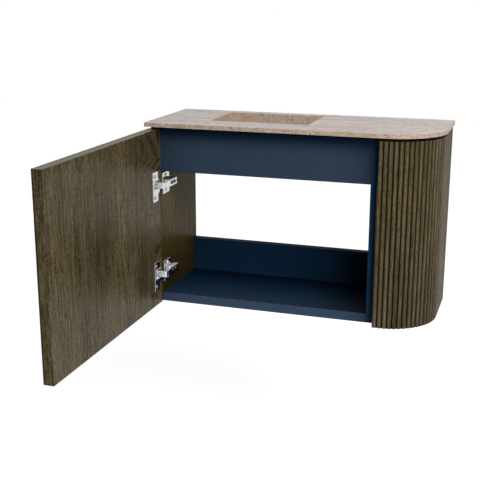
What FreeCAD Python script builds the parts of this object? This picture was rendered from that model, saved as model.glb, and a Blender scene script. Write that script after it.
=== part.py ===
"""Wall-hung vanity unit: stone top with a bowl, board carcass, curved reeded end and one door on cup hinges.

Millimetres, X to the right, Y towards the wall, Z up. The origin is the middle of the four wall-bolt holes,
on the wall plane. The door is modelled open at ninety degrees.
"""
import FreeCAD, Part
import math
import os
import re
import Sketcher

doc = FreeCAD.newDocument("vanity_unit")
sheet = doc.addObject("Spreadsheet::Sheet", "sizes")

# Sizes that can be set by themselves.
driving_sizes = {
    # overall
    "unit_width": 600,
    "unit_depth": 232,
    "unit_height": 390,
    # stone top and bowl
    "stone_thick": 9,
    "stone_overhang": 3,
    "stone_arris": 0.8,
    "corner_radius": 105,
    "basin_left": 120,
    "basin_front": 68,
    "basin_length": 208,
    "basin_depth": 85,
    "bowl_wall": 8,
    "bowl_floor_thick": 12,
    "bowl_rail_gap": 1,
    "floor_fall": 3,
    "drain_flat": 72,
    "drain_bore": 46,
    # carcass
    "board_thick": 19,
    "board_arris": 0.5,
    "apron_height": 96,
    "lower_rail_height": 75,
    "upper_rail_height": 105,
    "bolt_spacing_across": 365,
    "bolt_spacing_upright": 52,
    "bolt_bore": 9,
    # curved end
    "end_width": 113,
    "end_lap": 2.5,
    "shadow_gap": 6,
    "reed_pitch": 9.82,
    "reed_depth": 3.6,
    "facing_back": 1.2,
    # dowels
    "dowel_bore": 8.2,
    "dowel_clear": 0.1,
    "dowel_in_face": 11,
    "dowel_in_end": 18,
    "dowel_inset": 40,
    "dowel_end_inset": 80,
    "rail_dowel_inset": 10.5,
    "apron_dowel_inset": 24,
    # door
    "door_board_thick": 18,
    "door_gap": 3,
    "door_reveal": 2,
    "door_end_gap": 4.5,
    # hinges
    "upper_hinge_drop": 118,
    "lower_hinge_rise": 64,
    "pivot_deep": 10.2,
    "swing_clear": 0.4,
    "cup_bore": 35,
    "cup_edge": 3,
    "cup_wall": 0.7,
    "cup_fit": 0.05,
    "cup_floor_clear": 0.4,
    "rim_width": 0.8,
    "flange_thick": 1.2,
    "flange_height": 62,
    "flange_wing": 24,
    "flange_back": 17.9,
    "flange_wing_height": 14.5,
    "flange_bulge": 16,
    "flange_bulge_height": 16,
    "pin_bore": 3.04,
    "pin_press": 0.02,
    "pin_run": 0.05,
    "pin_length": 19,
    "lug_size": 5.6,
    "lug_clear": 0.6,
    "knuckle_bore_wall": 0.85,
    "neck_height": 12,
    "neck_thick": 2.6,
    "neck_clear": 1.6,
    "neck_bend": 1.5,
    "neck_line_back": 6,
    "neck_line_width": 1,
    "neck_line_deep": 0.8,
    "plate_setback": 24,
    "plate_thick": 2.2,
    "plate_width": 33,
    "plate_height": 45,
    "spine_start": 12,
    "spine_length": 38.5,
    "spine_lift": 13.5,
    "spine_width": 10.4,
    "arm_wall": 1.5,
    "arm_side_clear": 0.3,
    "arm_lift": 4,
    "arm_lead": 4,
    "arm_front_wall": 3,
    "arm_tail": 2,
    "arm_notch": 5,
    "screw_fit": 0.05,
    "screw_pass": 0.25,
    "recess_width": 0.9,
    "recess_deep": 1,
    "cup_screw_spacing": 45,
    "cup_screw_back": 9.5,
    "cup_screw_shank": 3.5,
    "cup_screw_deep": 12,
    "cup_screw_head": 7,
    "cup_screw_head_height": 1.5,
    "plate_screw_spacing": 32,
    "plate_screw_shank": 5,
    "plate_screw_deep": 13,
    "plate_screw_head": 7.8,
    "plate_screw_head_height": 2,
    "arm_screw_front": 25,
    "arm_screw_rear": 39.5,
    "arm_screw_shank": 4.5,
    "arm_screw_deep": 7,
    "arm_screw_head": 8,
    "arm_screw_head_height": 1.6,
}

# Places and sizes that follow from the driving ones.
derived_sizes = {
    "bay_width": "unit_width - 2 * stone_overhang - 2 * board_thick - end_width",
    "bay_left": "-bay_width / 2",
    "bay_right": "bay_width / 2",
    "side_outer": "bay_left - board_thick",
    "stone_left": "side_outer - stone_overhang",
    "stone_right": "stone_left + unit_width",
    "partition_right": "bay_right + board_thick",
    "end_right": "stone_right - stone_overhang",
    "end_left": "partition_right - end_lap",
    "face_front": "stone_overhang - unit_depth",
    "facing_thick": "facing_back + reed_depth",
    "door_thick": "door_board_thick + facing_thick",
    "carcass_front": "face_front + door_thick + door_gap",
    "carcass_depth": "-carcass_front",
    "core_thick": "door_board_thick + door_gap",
    "end_radius": "corner_radius - stone_overhang",
    "core_front": "face_front + facing_thick",
    "core_right": "end_right - facing_thick",
    "core_radius": "end_radius - facing_thick",
    "core_width": "core_right - end_left",
    "core_depth": "-core_front",
    "former_right": "core_right - core_thick",
    "former_width": "former_right - partition_right",
    "former_radius": "core_radius - core_thick",
    "stone_under": "upper_rail_height / 2",
    "stone_upper": "stone_under + stone_thick",
    "unit_bottom": "stone_upper - unit_height",
    "panel_height": "stone_under - unit_bottom",
    "floor_upper": "unit_bottom + board_thick",
    "door_upper": "stone_under - shadow_gap",
    "door_height": "door_upper - unit_bottom",
    "door_width": "end_left - door_end_gap - side_outer - door_reveal",
    "apron_lower": "stone_under - apron_height",
    "bowl_start": "stone_left + basin_left",
    "bowl_end": "bowl_start + basin_length",
    "bowl_near": "basin_front - unit_depth",
    "bowl_far": "-board_thick - bowl_rail_gap - bowl_wall",
    "basin_width": "bowl_far - bowl_near",
    "bowl_lower": "stone_upper - basin_depth",
    "wall_height": "basin_depth - stone_thick",
    "dowel_radius": "dowel_bore / 2 - dowel_clear",
    "swing_room": "door_gap - swing_clear",
    "pivot_in": "sqrt(swing_room * (2 * pivot_deep + swing_room))",
    "pivot_across": "side_outer + door_reveal + pivot_in",
    "pivot_along": "carcass_front - door_gap - pivot_deep",
    "door_inner": "pivot_across + pivot_deep",
    "door_near": "pivot_along + pivot_in",
    "door_far": "door_near - door_width",
    "door_face": "door_inner - door_board_thick",
    "upper_hinge_level": "door_upper - upper_hinge_drop",
    "lower_hinge_level": "unit_bottom + lower_hinge_rise",
    "pin_radius": "pin_bore / 2 - pin_press",
    "knuckle_bore_radius": "pin_radius + pin_run",
    "knuckle_radius": "knuckle_bore_radius + knuckle_bore_wall",
    "cup_deep": "pivot_deep + knuckle_radius + cup_floor_clear + cup_wall",
    "cup_radius": "cup_bore / 2 - cup_fit",
    "cup_inner_radius": "cup_radius - cup_wall",
    "cup_along": "door_near - cup_edge - cup_bore / 2",
    "cup_screw_along": "cup_along - cup_screw_back",
    "plate_along": "carcass_front + plate_setback",
    "spine_near": "carcass_front + spine_start",
    "spine_upper": "bay_left + spine_lift",
    "neck_reach": "spine_upper + arm_wall - neck_thick - pivot_across",
    "arm_near": "spine_near - arm_lead",
    "arm_length": "arm_lead + spine_length + arm_tail",
    "arm_width": "spine_width + 2 * arm_side_clear + 2 * arm_wall",
    "arm_lower": "bay_left + arm_lift",
}

row = 0
for name, value in driving_sizes.items():
    row += 1
    sheet.set(f"A{row}", name.replace("_", " "))
    sheet.set(f"B{row}", str(value))
    sheet.setAlias(f"B{row}", name)
for name, formula in derived_sizes.items():
    row += 1
    sheet.set(f"A{row}", name.replace("_", " "))
    sheet.set(f"B{row}", f"={formula}")
    sheet.setAlias(f"B{row}", name)
doc.recompute()

known_sizes = set(driving_sizes) | set(derived_sizes)
turned_to = {
    "X": FreeCAD.Rotation(FreeCAD.Vector(0, 1, 0), 90),
    "Y": FreeCAD.Rotation(FreeCAD.Vector(1, 0, 0), -90),
    "Z": FreeCAD.Rotation(),
}


def size(name):
    """The value of one size in millimetres."""
    return float(sheet.get(name))


def bind(piece, prop, text):
    """Bind a property to an expression in which sizes are plain words."""
    words = re.split(r"([a-z_]+)", str(text))
    piece.setExpression(prop, "".join(f"sizes.{word}" if word in known_sizes else word for word in words))


def place(piece, corner):
    """Bind a piece's place to three expressions."""
    for axis, text in zip("xyz", corner):
        bind(piece, f"Placement.Base.{axis}", text)


def box(name, corner, extent):
    """Block from its low corner and its extents along X, Y and Z."""
    piece = doc.addObject("Part::Box", name)
    for prop, text in zip(("Length", "Width", "Height"), extent):
        bind(piece, prop, text)
    place(piece, corner)
    return piece


def rod(name, axis, start, radius, length):
    """Cylinder that runs from start along the named axis."""
    piece = doc.addObject("Part::Cylinder", name)
    piece.Placement.Rotation = turned_to[axis]
    bind(piece, "Radius", radius)
    bind(piece, "Height", length)
    place(piece, start)
    return piece


def fuse(name, pieces):
    """One solid from pieces that overlap or share faces."""
    piece = doc.addObject("Part::MultiFuse", name)
    piece.Shapes = pieces
    return piece


def cut(name, base, tools):
    """Base with every tool taken out of it."""
    piece = doc.addObject("Part::Cut", name)
    piece.Base = base
    piece.Tool = tools[0] if len(tools) == 1 else fuse(f"{name}_tools", tools)
    return piece


def common(name, first, second):
    """What two pieces share."""
    piece = doc.addObject("Part::Common", name)
    piece.Base = first
    piece.Tool = second
    return piece


def group(name, pieces):
    """Separate solids under one name."""
    piece = doc.addObject("Part::Compound", name)
    piece.Links = pieces
    return piece


def eased(name, block):
    """Block with a small chamfer on every edge."""
    doc.recompute()
    piece = doc.addObject("Part::Chamfer", name)
    piece.Base = block
    arris = size("board_arris")
    piece.Edges = [(edge + 1, arris, arris) for edge in range(len(block.Shape.Edges))]
    return piece


def origin_plane(body, role):
    """One of a body's own origin planes."""
    return next(feature for feature in body.Origin.OriginFeatures if feature.Role == role)


def new_sketch(body, name, role="XY_Plane"):
    """Sketch on one of a body's origin planes."""
    sketch = body.newObject("Sketcher::SketchObject", name)
    sketch.AttachmentSupport = (origin_plane(body, role), [""])
    sketch.MapMode = "FlatFace"
    return sketch


def new_pad(body, sketch, name, length):
    """Pad of a whole sketch."""
    pad = body.newObject("PartDesign::Pad", name)
    pad.Profile = sketch
    bind(pad, "Length", length)
    return pad


def point(across, along):
    """Point in a sketch."""
    return FreeCAD.Vector(across, along, 0)


def measure(sketch, kind, references, name):
    """Driving dimension of a sketch, bound to one of the sizes."""
    index = sketch.addConstraint(Sketcher.Constraint(kind, *references, size(name)))
    bind(sketch, f"Constraints[{index}]", name)


def join_in_turn(sketch, first, count):
    """Join a run of sketch lines end to start, the last to the first."""
    for step in range(count):
        following = first + (step + 1) % count
        sketch.addConstraint(Sketcher.Constraint("Coincident", first + step, 2, following, 1))


def rounded_plate(name, corner, width_name, depth_name, radius_name, thick):
    """Level plate from its front left corner, whose front right corner is a large arc."""
    body = doc.addObject("PartDesign::Body", name)
    place(body, corner)
    width, depth, radius = size(width_name), size(depth_name), size(radius_name)
    sketch = new_sketch(body, f"{name}_outline")
    sketch.addGeometry(Part.LineSegment(point(0, 0), point(width - radius, 0)))
    circle = Part.Circle(point(width - radius, radius), FreeCAD.Vector(0, 0, 1), radius)
    sketch.addGeometry(Part.ArcOfCircle(circle, -math.pi / 2, 0))
    sketch.addGeometry(Part.LineSegment(point(width, radius), point(width, depth)))
    sketch.addGeometry(Part.LineSegment(point(width, depth), point(0, depth)))
    sketch.addGeometry(Part.LineSegment(point(0, depth), point(0, 0)))
    for first, second in ((0, 1), (1, 2)):
        sketch.addConstraint(Sketcher.Constraint("Tangent", first, 2, second, 1))
    for first, second in ((2, 3), (3, 4), (4, 0)):
        sketch.addConstraint(Sketcher.Constraint("Coincident", first, 2, second, 1))
    sketch.addConstraint(Sketcher.Constraint("Coincident", 0, 1, -1, 1))
    for line, kind in ((0, "Horizontal"), (2, "Vertical"), (3, "Horizontal"), (4, "Vertical")):
        sketch.addConstraint(Sketcher.Constraint(kind, line))
    measure(sketch, "Radius", (1,), radius_name)
    measure(sketch, "DistanceX", (-1, 1, 2, 2), width_name)
    measure(sketch, "DistanceY", (-1, 1, 2, 2), depth_name)
    new_pad(body, sketch, f"{name}_pad", thick)
    return body


def outline_body(name, edges, corner, thick, role="XY_Plane"):
    """Plate padded from a closed run of lines and arcs."""
    body = doc.addObject("PartDesign::Body", name)
    place(body, corner)
    sketch = new_sketch(body, f"{name}_outline", role)
    for edge in edges:
        sketch.addGeometry(edge)
    new_pad(body, sketch, f"{name}_pad", thick)
    return body


def polygon(corners):
    """Closed run of lines through the corners."""
    points = [point(*corner) for corner in corners]
    return [Part.LineSegment(start, end) for start, end in zip(points, points[1:] + points[:1])]


# The stone top: a slab with one rounded corner and the basin's cut-out, its upper edges eased.
def make_stone_top():
    slab = rounded_plate("stone_top", ("stone_left", "-unit_depth", "stone_under"), "unit_width",
                         "unit_depth", "corner_radius", "stone_thick")
    cutout = new_sketch(slab, "basin_cutout")
    left, front = size("basin_left"), size("basin_front")
    right, back = left + size("basin_length"), front + size("basin_width")
    for edge in polygon([(left, front), (right, front), (right, back), (left, back)]):
        cutout.addGeometry(edge)
    join_in_turn(cutout, 0, 4)
    for line, kind in enumerate(("Horizontal", "Vertical", "Horizontal", "Vertical")):
        cutout.addConstraint(Sketcher.Constraint(kind, line))
    measure(cutout, "DistanceX", (-1, 1, 0, 1), "basin_left")
    measure(cutout, "DistanceY", (-1, 1, 0, 1), "basin_front")
    measure(cutout, "DistanceX", (0, 1, 0, 2), "basin_length")
    measure(cutout, "DistanceY", (1, 1, 1, 2), "basin_width")
    pocket = slab.newObject("PartDesign::Pocket", "basin_pocket")
    pocket.Profile = cutout
    pocket.Reversed = True
    bind(pocket, "Length", "stone_thick")
    doc.recompute()
    upper = size("stone_thick")
    rims = [f"Edge{number + 1}" for number, edge in enumerate(pocket.Shape.Edges)
            if all(abs(vertex.Z - upper) < 1e-6 for vertex in edge.Vertexes)]
    arris = slab.newObject("PartDesign::Chamfer", "stone_edges")
    arris.Base = (pocket, rims)
    bind(arris, "Size", "stone_arris")
    return slab


# The bowl: four bonded stone walls on a floor that falls to the waste hole.
def make_bowl():
    outer_start = "bowl_start - bowl_wall"
    outer_length = "basin_length + 2 * bowl_wall"
    long_wall = (outer_length, "bowl_wall", "wall_height")
    short_wall = ("bowl_wall", "basin_width", "wall_height")
    walls = [
        box("bowl_front_wall", (outer_start, "bowl_near - bowl_wall", "bowl_lower"), long_wall),
        box("bowl_back_wall", (outer_start, "bowl_far", "bowl_lower"), long_wall),
        box("bowl_left_wall", (outer_start, "bowl_near", "bowl_lower"), short_wall),
        box("bowl_right_wall", ("bowl_end", "bowl_near", "bowl_lower"), short_wall),
    ]
    plate = box("bowl_floor_plate", (outer_start, "bowl_near - bowl_wall", "bowl_lower - bowl_floor_thick"),
                (outer_length, "basin_width + 2 * bowl_wall", "bowl_floor_thick"))
    middle = ("bowl_start + basin_length / 2", "bowl_near + basin_width / 2")
    fall = doc.addObject("Part::Wedge", "bowl_floor_fall")
    fall.Placement.Rotation = FreeCAD.Rotation(FreeCAD.Vector(1, 0, 0), 90)
    place(fall, (*middle, "bowl_lower - floor_fall"))
    for prop, text in {
        "Xmin": "-drain_flat / 2", "Xmax": "drain_flat / 2",
        "Zmin": "-drain_flat / 2", "Zmax": "drain_flat / 2",
        "X2min": "-basin_length / 2", "X2max": "basin_length / 2",
        "Z2min": "-basin_width / 2", "Z2max": "basin_width / 2",
        "Ymin": "0", "Ymax": "floor_fall",
    }.items():
        bind(fall, prop, text)
    drain = rod("bowl_floor_drain", "Z", (*middle, "bowl_lower - bowl_floor_thick"), "drain_bore / 2",
                "bowl_floor_thick")
    return walls + [cut("bowl_floor", plate, [fall, drain])]


# Dowels lie across the two joint planes of the bay, and across the curved end's joint with the partition.
bay_dowels = {
    "bottom_front": ("carcass_front + dowel_inset", "unit_bottom + board_thick / 2"),
    "bottom_back": ("-dowel_inset", "unit_bottom + board_thick / 2"),
    "apron_upper": ("carcass_front + board_thick / 2", "stone_under - apron_dowel_inset"),
    "apron_lower": ("carcass_front + board_thick / 2", "apron_lower + apron_dowel_inset"),
    "lower_rail_upper": ("-board_thick / 2", "floor_upper + lower_rail_height - rail_dowel_inset"),
    "lower_rail_lower": ("-board_thick / 2", "floor_upper + rail_dowel_inset"),
    "upper_rail_upper": ("-board_thick / 2", "stone_under - rail_dowel_inset"),
    "upper_rail_lower": ("-board_thick / 2", "-stone_under + rail_dowel_inset"),
}
end_levels = {
    "end_top_board": "stone_under - board_thick",
    "end_middle_board": "(stone_under + unit_bottom - board_thick) / 2",
    "end_bottom_board": "unit_bottom",
}


def dowel_bores(name, plane, joints, left_depth, right_depth):
    """Bores across a joint plane: one length to its left, one to its right."""
    span = f"{left_depth} + {right_depth} + 2 * dowel_clear"
    return [rod(f"{name}_{joint}", "X", (f"{plane} - {left_depth} - dowel_clear", along, level),
                "dowel_bore / 2", span) for joint, (along, level) in joints.items()]


def dowels(name, plane, joints, left_depth, right_depth):
    """Dowels across a joint plane."""
    return [rod(f"{name}_{joint}", "X", (f"{plane} - {left_depth}", along, level), "dowel_radius",
                f"{left_depth} + {right_depth}") for joint, (along, level) in joints.items()]


def joints_of(prefix):
    """The dowel places of one board in the bay."""
    return {joint: spot for joint, spot in bay_dowels.items() if joint.startswith(prefix)}


def end_joints(names):
    """The dowel places of boards in the curved end."""
    return {f"{name}_{side}": (along, f"{end_levels[name]} + board_thick / 2") for name in names
            for side, along in (("front", "carcass_front + dowel_end_inset"), ("back", "-dowel_end_inset"))}


def bay_board(name, corner, extent, prefix, more_cuts=()):
    """Board that spans the bay, bored in both ends for its dowels."""
    joints = joints_of(prefix)
    bores = dowel_bores(f"{name}_left_bore", "bay_left", joints, "dowel_in_face", "dowel_in_end")
    bores += dowel_bores(f"{name}_right_bore", "bay_right", joints, "dowel_in_end", "dowel_in_face")
    return cut(name, eased(f"{name}_eased", box(f"{name}_block", corner, extent)), bores + list(more_cuts))


# The carcass: side panel, partition and the boards between them.
def make_carcass():
    upright = ("board_thick", "carcass_depth", "panel_height")
    side_bores = dowel_bores("side_bore", "bay_left", bay_dowels, "dowel_in_face", "dowel_in_end")
    side_bores += plate_screw_bores()
    side_block = box("side_block", ("side_outer", "carcass_front", "unit_bottom"), upright)
    part_bores = dowel_bores("partition_bore", "bay_right", bay_dowels, "dowel_in_end", "dowel_in_face")
    part_bores += dowel_bores("partition_end_bore", "partition_right", end_joints(end_levels),
                              "dowel_in_face", "dowel_in_end")
    part_block = box("partition_block", ("bay_right", "carcass_front", "unit_bottom"), upright)
    bolts = []
    for side in (-1, 1):
        for level in (-1, 1):
            across, up = f"{side} * bolt_spacing_across / 2", f"{level} * bolt_spacing_upright / 2"
            bolts.append(rod(f"bolt_{side}_{level}", "Y", (across, "-board_thick", up), "bolt_bore / 2",
                             "board_thick"))
    return [
        cut("left_side_panel", eased("side_eased", side_block), side_bores),
        cut("partition_panel", eased("partition_eased", part_block), part_bores),
        bay_board("bottom_panel", ("bay_left", "carcass_front", "unit_bottom"),
                  ("bay_width", "carcass_depth", "board_thick"), "bottom"),
        bay_board("front_apron", ("bay_left", "carcass_front", "apron_lower"),
                  ("bay_width", "board_thick", "apron_height"), "apron"),
        bay_board("lower_back_rail", ("bay_left", "-board_thick", "floor_upper"),
                  ("bay_width", "board_thick", "lower_rail_height"), "lower_rail"),
        bay_board("upper_back_rail", ("bay_left", "-board_thick", "-stone_under"),
                  ("bay_width", "board_thick", "upper_rail_height"), "upper_rail", bolts),
        group("carcass_dowels", dowels("left_dowel", "bay_left", bay_dowels, "dowel_in_face", "dowel_in_end")
              + dowels("right_dowel", "bay_right", bay_dowels, "dowel_in_end", "dowel_in_face")),
    ]


def reed_run(spots, crests):
    """Half-round reeds through the valley points, each over its crest point."""
    return [Part.Arc(start, crest, end) for start, crest, end in zip(spots, crests, spots[1:])]


# The curved end: three formers, a bent core and the reeded facing that follows the rounded stone.
def make_curved_end():
    formers = []
    for name, level in end_levels.items():
        plate = rounded_plate(f"{name}_plate", ("partition_right", "carcass_front", level), "former_width",
                              "carcass_depth", "former_radius", "board_thick")
        bores = dowel_bores(f"{name}_bore", "partition_right", end_joints([name]), "dowel_in_face",
                            "dowel_in_end")
        formers.append(cut(name, plate, bores))
    core_block = rounded_plate("core_block", ("end_left", "core_front", "unit_bottom"), "core_width",
                               "core_depth", "core_radius", "door_height")
    core_hollow = rounded_plate("core_hollow", ("end_left - core_thick", "carcass_front", "unit_bottom"),
                                "core_width", "core_depth", "former_radius", "door_height")
    pegs = dowels("end_dowel", "partition_right", end_joints(end_levels), "dowel_in_face", "dowel_in_end")
    core = cut("end_curved_core", core_block, [core_hollow])
    return formers + [core, end_facing(), group("end_dowels", pegs)]


def end_facing():
    """Reeded facing bent round the end: a straight front, a quarter turn and a straight side."""
    depth = size("reed_depth")
    radius = size("end_radius") - depth
    front = size("end_right") - size("end_left") - size("end_radius")
    side = -size("face_front") - size("end_radius")
    turn = radius * math.pi / 2
    reeds = max(3, round((front + turn + side) / size("reed_pitch")))
    pitch = (front + turn + side) / reeds

    def spot(travel, lift):
        """Point at a travel along the valley line, lifted outwards."""
        if travel < front:
            return point(travel, depth - lift)
        angle = (travel - front) / radius
        if angle < math.pi / 2:
            out = radius + lift
            return point(front + out * math.sin(angle), depth + radius - out * math.cos(angle))
        return point(front + radius + lift, depth + radius + travel - front - turn)

    valleys = [spot(step * pitch, 0) for step in range(reeds + 1)]
    crests = [spot((step + 0.5) * pitch, depth) for step in range(reeds)]
    back = -size("facing_back")
    start, bend_start = spot(0, back), spot(front, back)
    bend_middle = spot(front + turn / 2, back)
    bend_end, end = spot(front + turn, back), spot(front + turn + side, back)
    edges = reed_run(valleys, crests)
    edges += [Part.LineSegment(valleys[-1], end), Part.LineSegment(end, bend_end),
              Part.Arc(bend_end, bend_middle, bend_start), Part.LineSegment(bend_start, start),
              Part.LineSegment(start, valleys[0])]
    return outline_body("end_reeded_facing", edges, ("end_left", "face_front", "unit_bottom"), "door_height")


# The door, open: its board with the hinge bores, and the reeded facing on its outer side.
def make_door():
    block = eased("door_eased", box("door_block", ("door_face", "door_far", "unit_bottom"),
                                    ("door_board_thick", "door_width", "door_height")))
    bores = []
    for hinge in ("upper", "lower"):
        foot = ("door_inner - cup_deep", "cup_along", f"{hinge}_hinge_level")
        bores.append(rod(f"{hinge}_cup_bore", "X", foot, "cup_bore / 2", "cup_deep"))
        bores += screw_bores(f"{hinge}_cup_screw_bore", "cup_screw", "door_inner", cup_screw_spots(hinge))
    width, depth, back = size("door_width"), size("reed_depth"), size("facing_back")
    reeds = max(3, round(width / size("reed_pitch")))
    pitch = width / reeds
    valleys = [point(-back, step * pitch) for step in range(reeds + 1)]
    crests = [point(-back - depth, (step + 0.5) * pitch) for step in range(reeds)]
    edges = reed_run(valleys, crests)
    edges += [Part.LineSegment(valleys[-1], point(0, width)), Part.LineSegment(point(0, width), point(0, 0)),
              Part.LineSegment(point(0, 0), valleys[0])]
    corner = ("door_face", "door_far", "unit_bottom")
    return [cut("door_board", block, bores), outline_body("door_reeded_facing", edges, corner, "door_height")]


# Screws run along X, with a cross recess in the head.
def cup_screw_spots(hinge):
    return [("cup_screw_along", f"{hinge}_hinge_level + {side} * cup_screw_spacing / 2") for side in (-1, 1)]


def plate_screw_spots(hinge):
    return [("plate_along", f"{hinge}_hinge_level + {side} * plate_screw_spacing / 2") for side in (-1, 1)]


def arm_screw_spots(hinge):
    return [(f"carcass_front + {spot}", f"{hinge}_hinge_level")
            for spot in ("arm_screw_front", "arm_screw_rear")]


def screw_bores(name, kind, surface, spots):
    """Bores into the piece that a screw holds in."""
    return [rod(f"{name}_{number}", "X", (f"{surface} - {kind}_deep - screw_fit", along, level),
                f"{kind}_shank / 2 + screw_fit", f"{kind}_deep + screw_fit")
            for number, (along, level) in enumerate(spots)]


def screw_passes(name, kind, surface, thick, spots):
    """Clearance holes through the sheet that a screw clamps."""
    return [rod(f"{name}_{number}", "X", (surface, along, level), f"{kind}_shank / 2 + screw_pass", thick)
            for number, (along, level) in enumerate(spots)]


def screws(name, kind, surface, thick, spots):
    """Screws through a sheet that lies on a surface."""
    made = []
    for number, (along, level) in enumerate(spots):
        stem = f"{name}_{number}"
        shank = rod(f"{stem}_shank", "X", (f"{surface} - {kind}_deep", along, level), f"{kind}_shank / 2",
                    f"{kind}_deep + {thick}")
        head = rod(f"{stem}_head", "X", (f"{surface} + {thick}", along, level), f"{kind}_head / 2",
                   f"{kind}_head_height")
        floor = f"{surface} + {thick} + {kind}_head_height - recess_deep"
        arms = [
            box(f"{stem}_slot", (floor, f"{along} - {kind}_head / 4", f"{level} - recess_width / 2"),
                ("recess_deep", f"{kind}_head / 2", "recess_width")),
            box(f"{stem}_cross", (floor, f"{along} - recess_width / 2", f"{level} - {kind}_head / 4"),
                ("recess_deep", "recess_width", f"{kind}_head / 2")),
        ]
        made.append(cut(stem, fuse(f"{stem}_body", [shank, head]), arms))
    return group(name, made)


def plate_screw_bores():
    """Bores in the side panel for both mounting plates."""
    bores = []
    for hinge in ("upper", "lower"):
        spots = plate_screw_spots(hinge)
        bores += screw_bores(f"{hinge}_plate_screw_bore", "plate_screw", "bay_left", spots)
    return bores


# A hinge: cup with its flange in the door, pin across two lugs in the cup, arm with a cranked neck on the
# pin, and a winged mounting plate whose spine carries the arm.
def make_hinge(hinge):
    level = f"{hinge}_hinge_level"
    made = [make_cup(hinge, level), make_mounting_plate(hinge, level), make_arm(hinge, level)]
    made.append(rod(f"{hinge}_hinge_pin", "Z", ("pivot_across", "pivot_along", f"{level} - pin_length / 2"),
                    "pin_radius", "pin_length"))
    for kind, surface, thick, spots in (
        ("cup_screw", "door_inner", "flange_thick", cup_screw_spots(hinge)),
        ("plate_screw", "bay_left", "plate_thick", plate_screw_spots(hinge)),
        ("arm_screw", "spine_upper", "arm_wall", arm_screw_spots(hinge)),
    ):
        made.append(screws(f"{hinge}_{kind}s", kind, surface, thick, spots))
    return made


def make_cup(hinge, level):
    """Round cup closed by a winged flange, with a slot for the neck and two lugs that hold the pin."""
    floor = "door_inner - cup_deep"
    shell = rod(f"{hinge}_cup_shell", "X", (floor, "cup_along", level), "cup_radius", "cup_deep")
    rim = rod(f"{hinge}_cup_rim", "X", ("door_inner", "cup_along", level), "cup_bore / 2 + rim_width",
              "flange_thick")
    half, wing = size("flange_height") / 2, size("flange_wing") - size("flange_back")
    shoulder = half - size("flange_wing_height")
    bulge, bulge_half = size("flange_bulge"), size("flange_bulge_height") / 2
    outline = [(-size("flange_back"), -half), (wing, -half), (wing, -shoulder), (bulge, -bulge_half),
               (bulge, bulge_half), (wing, shoulder), (wing, half), (-size("flange_back"), half)]
    flange = outline_body(f"{hinge}_cup_flange", polygon(outline), ("door_inner", "cup_along", level),
                          "flange_thick", "YZ_Plane")
    inside = (f"{floor} + cup_wall", "cup_along", level)
    hollow = rod(f"{hinge}_cup_hollow", "X", inside, "cup_inner_radius", "cup_deep - cup_wall")
    lug_start = "(neck_height / 2 + lug_clear)"
    slot_end = "(pivot_along + neck_thick / 2 + neck_clear)"
    way_out = box(f"{hinge}_slot_room", ("door_inner", "cup_along - cup_radius", f"{level} - {lug_start}"),
                  ("flange_thick", f"{slot_end} - cup_along + cup_radius", f"2 * {lug_start}"))
    mouth = rod(f"{hinge}_cup_mouth", "X", ("door_inner", "cup_along", level), "cup_inner_radius",
                "flange_thick")
    slot = common(f"{hinge}_cup_slot", way_out, mouth)
    passes = screw_passes(f"{hinge}_flange_pass", "cup_screw", "door_inner", "flange_thick",
                          cup_screw_spots(hinge))
    solid_cup = fuse(f"{hinge}_cup_solid", [shell, rim, flange])
    open_cup = cut(f"{hinge}_cup_open", solid_cup, [hollow, slot] + passes)
    seat = rod(f"{hinge}_lug_room", "X", (floor, "cup_along", level), "cup_inner_radius + cup_wall / 2",
               "cup_deep")
    extent = ("pivot_across - door_inner + cup_deep + lug_size / 2", "lug_size", "cup_radius")
    feet = {"upper": f"{level} + {lug_start}", "lower": f"{level} - {lug_start} - cup_radius"}
    lugs = [box(f"{hinge}_{side}_lug", (floor, "pivot_along - lug_size / 2", foot), extent)
            for side, foot in feet.items()]
    held_lugs = common(f"{hinge}_lugs", fuse(f"{hinge}_lug_pair", lugs), seat)
    bore = rod(f"{hinge}_pin_bore", "Z", ("pivot_across", "pivot_along", f"{level} - pin_length / 2"),
               "pin_bore / 2", "pin_length")
    return cut(f"{hinge}_hinge_cup", fuse(f"{hinge}_cup_with_lugs", [open_cup, held_lugs]), [bore])


def make_mounting_plate(hinge, level):
    """Winged plate on the side panel with the spine that carries the arm."""
    wings = box(f"{hinge}_plate_wings",
                ("bay_left", "plate_along - plate_width / 2", f"{level} - plate_height / 2"),
                ("plate_thick", "plate_width", "plate_height"))
    spine = box(f"{hinge}_plate_spine", ("bay_left", "spine_near", f"{level} - spine_width / 2"),
                ("spine_lift", "spine_length", "spine_width"))
    holes = screw_passes(f"{hinge}_plate_pass", "plate_screw", "bay_left", "plate_thick",
                         plate_screw_spots(hinge))
    holes += screw_bores(f"{hinge}_arm_screw_bore", "arm_screw", "spine_upper", arm_screw_spots(hinge))
    return cut(f"{hinge}_mounting_plate", fuse(f"{hinge}_plate_solid", [wings, spine]), holes)


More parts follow.
